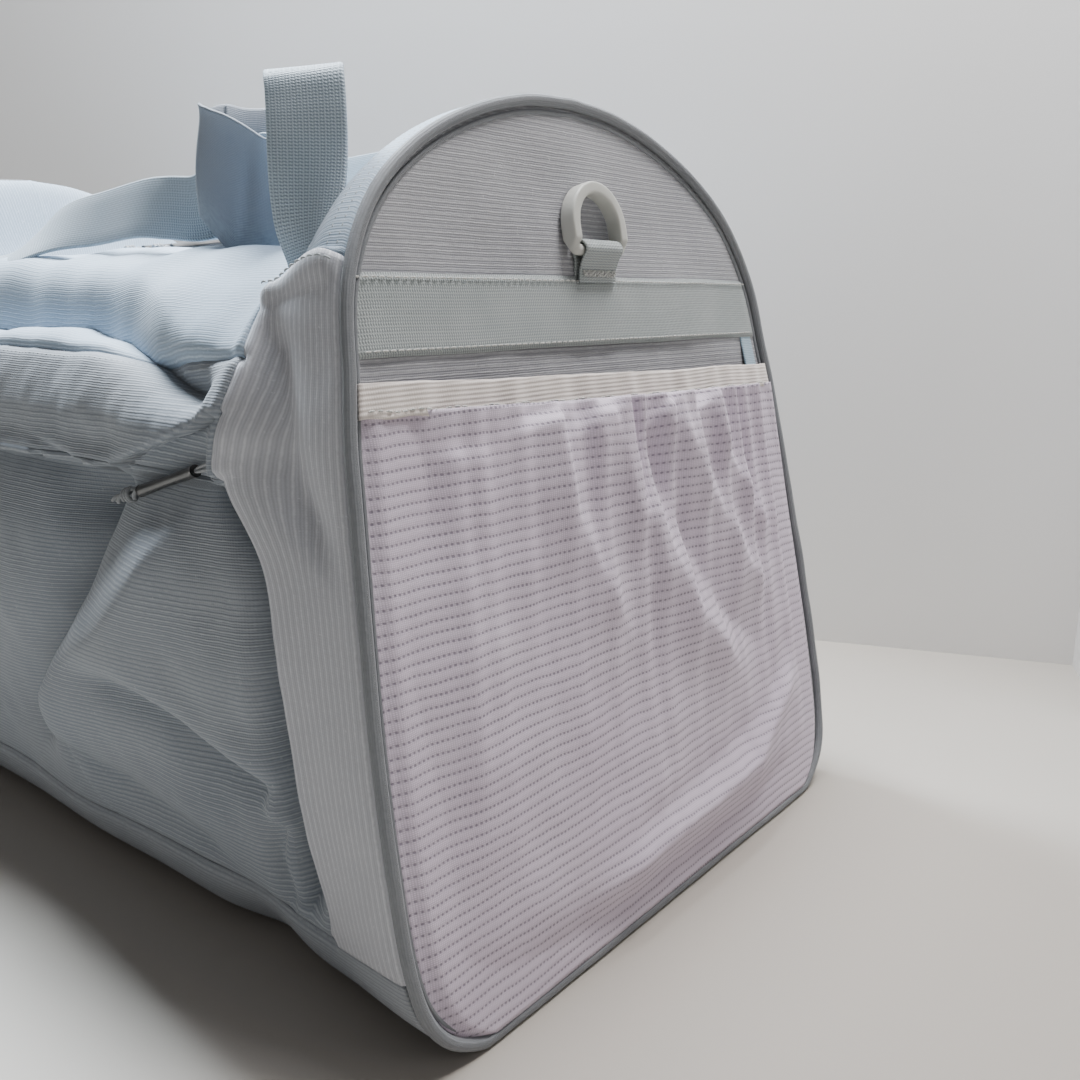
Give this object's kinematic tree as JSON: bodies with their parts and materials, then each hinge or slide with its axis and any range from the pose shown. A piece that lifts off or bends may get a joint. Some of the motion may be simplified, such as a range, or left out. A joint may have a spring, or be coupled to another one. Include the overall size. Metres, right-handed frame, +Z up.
{
  "type": "duffel bag",
  "caption": "Soft duffel bag with arched piped ends, mesh end pocket under an elastic rim, zipped front pocket, webbing grab handles and a plastic D-ring on each end",
  "frame": {"origin": "on the floor under the middle of the bag's box", "axes": "X along the bag with +X at the mesh pocket end, -Y the zipped front, Z up"},
  "size_m": [0.5547, 0.2788, 0.3066],
  "materials": {
    "ripstop": "woven ripstop, fine square grid, matt",
    "gusset": "woven ripstop turned a quarter, matt",
    "bottom": "woven ripstop, matt",
    "piping": "fabric covered cord, matt",
    "webbing": "ribbed polyester webbing, slight sheen",
    "grip": "folded woven fabric, matt",
    "d_ring": "moulded acetal, fine satin",
    "mesh": "knitted mesh with rows of small holes",
    "elastic": "ribbed elastic binding",
    "tape": "smooth narrow tape",
    "lining": "plain thin lining",
    "board": "stiffening board",
    "zip_tape": "woven zip tape",
    "zip_coil": "nylon coil",
    "slider": "black enamel",
    "pull_tube": "black shrink tube",
    "pull_cord": "twisted polyester cord"
  },
  "bodies": {
    "root": {"back_panel": "ripstop", "base_board": "board", "bottom_panel": "bottom", "crown_strip_left": "ripstop", "crown_strip_right": "ripstop", "d_ring_loop_left": "webbing", "d_ring_loop_right": "webbing", "end_panel_left": "ripstop", "end_panel_right": "ripstop", "front_pocket_lining": "lining", "front_pocket_panel": "ripstop", "gusset_back_left": "gusset", "gusset_back_right": "gusset", "gusset_front_left": "gusset", "gusset_front_right": "gusset", "handle_foot_back_left": "webbing", "handle_foot_back_right": "webbing", "handle_foot_front_left": "webbing", "handle_foot_front_right": "webbing", "main_zip_coil": "zip_coil", "main_zip_tape_back": "zip_tape", "main_zip_tape_front": "zip_tape", "mesh_pocket": "mesh", "piping_left": "piping", "piping_right": "piping", "pocket_elastic": "elastic", "pocket_welt": "ripstop", "pocket_zip_coil": "zip_coil", "pocket_zip_tape": "zip_tape", "tape_tab": "tape", "top_panel_back": "ripstop", "top_panel_front": "ripstop", "webbing_band_left": "webbing", "webbing_band_right": "webbing"},
    "d_ring_r": {"d_ring_right": "d_ring"},
    "d_ring_l": {"d_ring_left": "d_ring"},
    "main_slider_r": {"main_slider_right": "slider"},
    "main_slider_l": {"main_slider_left": "slider"},
    "main_pull_r": {"main_pull_cord_right": "pull_cord", "main_pull_tube_right": "pull_tube", "main_pull_knot_right": "pull_cord"},
    "main_pull_l": {"main_pull_cord_left": "pull_cord", "main_pull_tube_left": "pull_tube", "main_pull_knot_left": "pull_cord"},
    "front_slider": {"pocket_slider": "slider"},
    "front_pull": {"pocket_pull_cord": "pull_cord", "pocket_pull_tube": "pull_tube", "pocket_pull_knot": "pull_cord"},
    "front_handle": {"handle_front": "webbing", "handle_grip": "grip"},
    "back_handle": {"handle_back": "webbing"}
  },
  "joints": [
    {"name": "d_ring_right_swing", "type": "hinge", "parent": "root", "child": "d_ring_r", "pos_m": [0.22396, 0, 0.24752], "axis": [0, 1, 0], "range_deg": [0, 150]},
    {"name": "d_ring_left_swing", "type": "hinge", "parent": "root", "child": "d_ring_l", "pos_m": [-0.23216, 0, 0.24752], "axis": [0, -1, 0], "range_deg": [0, 150]},
    {"name": "main_zip_right_slide", "type": "slide", "parent": "root", "child": "main_slider_r", "axis": [1, 0, 0], "range_m": [0, 0.14]},
    {"name": "main_zip_left_slide", "type": "slide", "parent": "root", "child": "main_slider_l", "axis": [-1, 0, 0], "range_m": [0, 0.14]},
    {"name": "main_pull_right_swing", "type": "hinge", "parent": "main_slider_r", "child": "main_pull_r", "pos_m": [0.012, 0, 0.25803], "axis": [-1, 0, 0], "range_deg": [0, 165]},
    {"name": "main_pull_left_swing", "type": "hinge", "parent": "main_slider_l", "child": "main_pull_l", "pos_m": [-0.012, 0, 0.25803], "axis": [-1, 0, 0], "range_deg": [0, 165]},
    {"name": "pocket_zip_slide", "type": "slide", "parent": "root", "child": "front_slider", "axis": [-1, 0, 0], "range_m": [0, 0.28]},
    {"name": "pocket_pull_swing", "type": "hinge", "parent": "front_slider", "child": "front_pull", "pos_m": [0.176, -0.1351, 0.18], "axis": [0, 0, 1], "range_deg": [0, 95]},
    {"name": "handle_front_swing", "type": "hinge", "parent": "root", "child": "front_handle", "pos_m": [0, -0.1, 0.257], "axis": [-1, 0, 0], "range_deg": [-90, 12]},
    {"name": "handle_back_swing", "type": "hinge", "parent": "root", "child": "back_handle", "pos_m": [0, 0.1, 0.257], "axis": [1, 0, 0], "range_deg": [-90, 40]}
  ]
}
